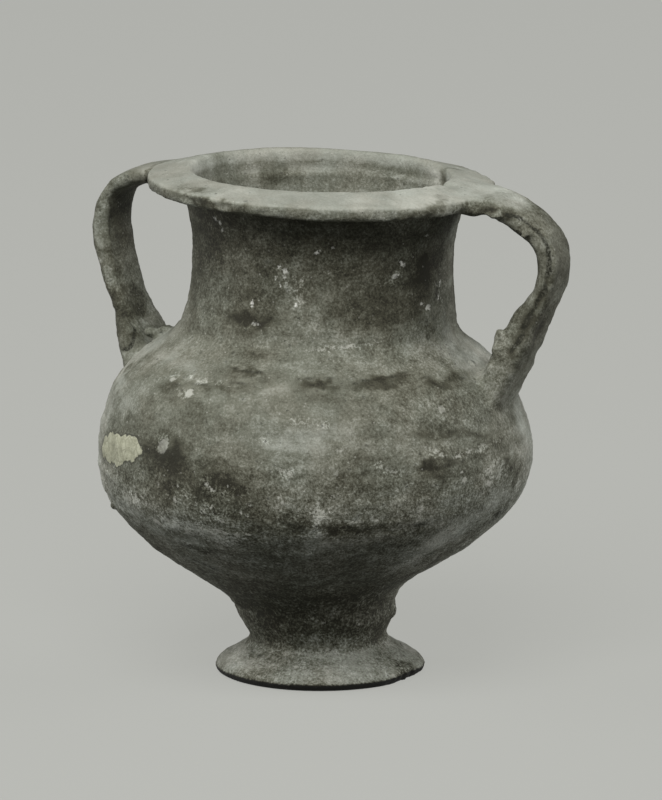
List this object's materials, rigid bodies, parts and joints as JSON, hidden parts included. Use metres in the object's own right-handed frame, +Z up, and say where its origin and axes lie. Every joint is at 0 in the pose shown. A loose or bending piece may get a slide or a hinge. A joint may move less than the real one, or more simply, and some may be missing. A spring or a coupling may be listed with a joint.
{
  "type": "amphoriskos",
  "caption": "Small handled clay jar with a spreading foot, round belly, wide neck and flat sloping lip; strap handles run from lip to shoulder; hollow, open at the mouth",
  "frame": {"origin": "on the foot's axis, on the ground the foot rests on; the bounding box's bottom centre is within about 1 mm of it", "axes": "+Z up through the mouth; the two handles lie along X, set about 5 degrees towards +Y; the picture was taken from the -Y side, 22.5 degrees round towards +X"},
  "size_m": [0.1463, 0.1278, 0.1509],
  "materials": {
    "clay": "matt, unglazed fired clay, mottled grey in the black-and-white photograph, worn and speckled"
  },
  "bodies": {
    "root": {"amphoriskos": "clay"}
  },
  "joints": []
}
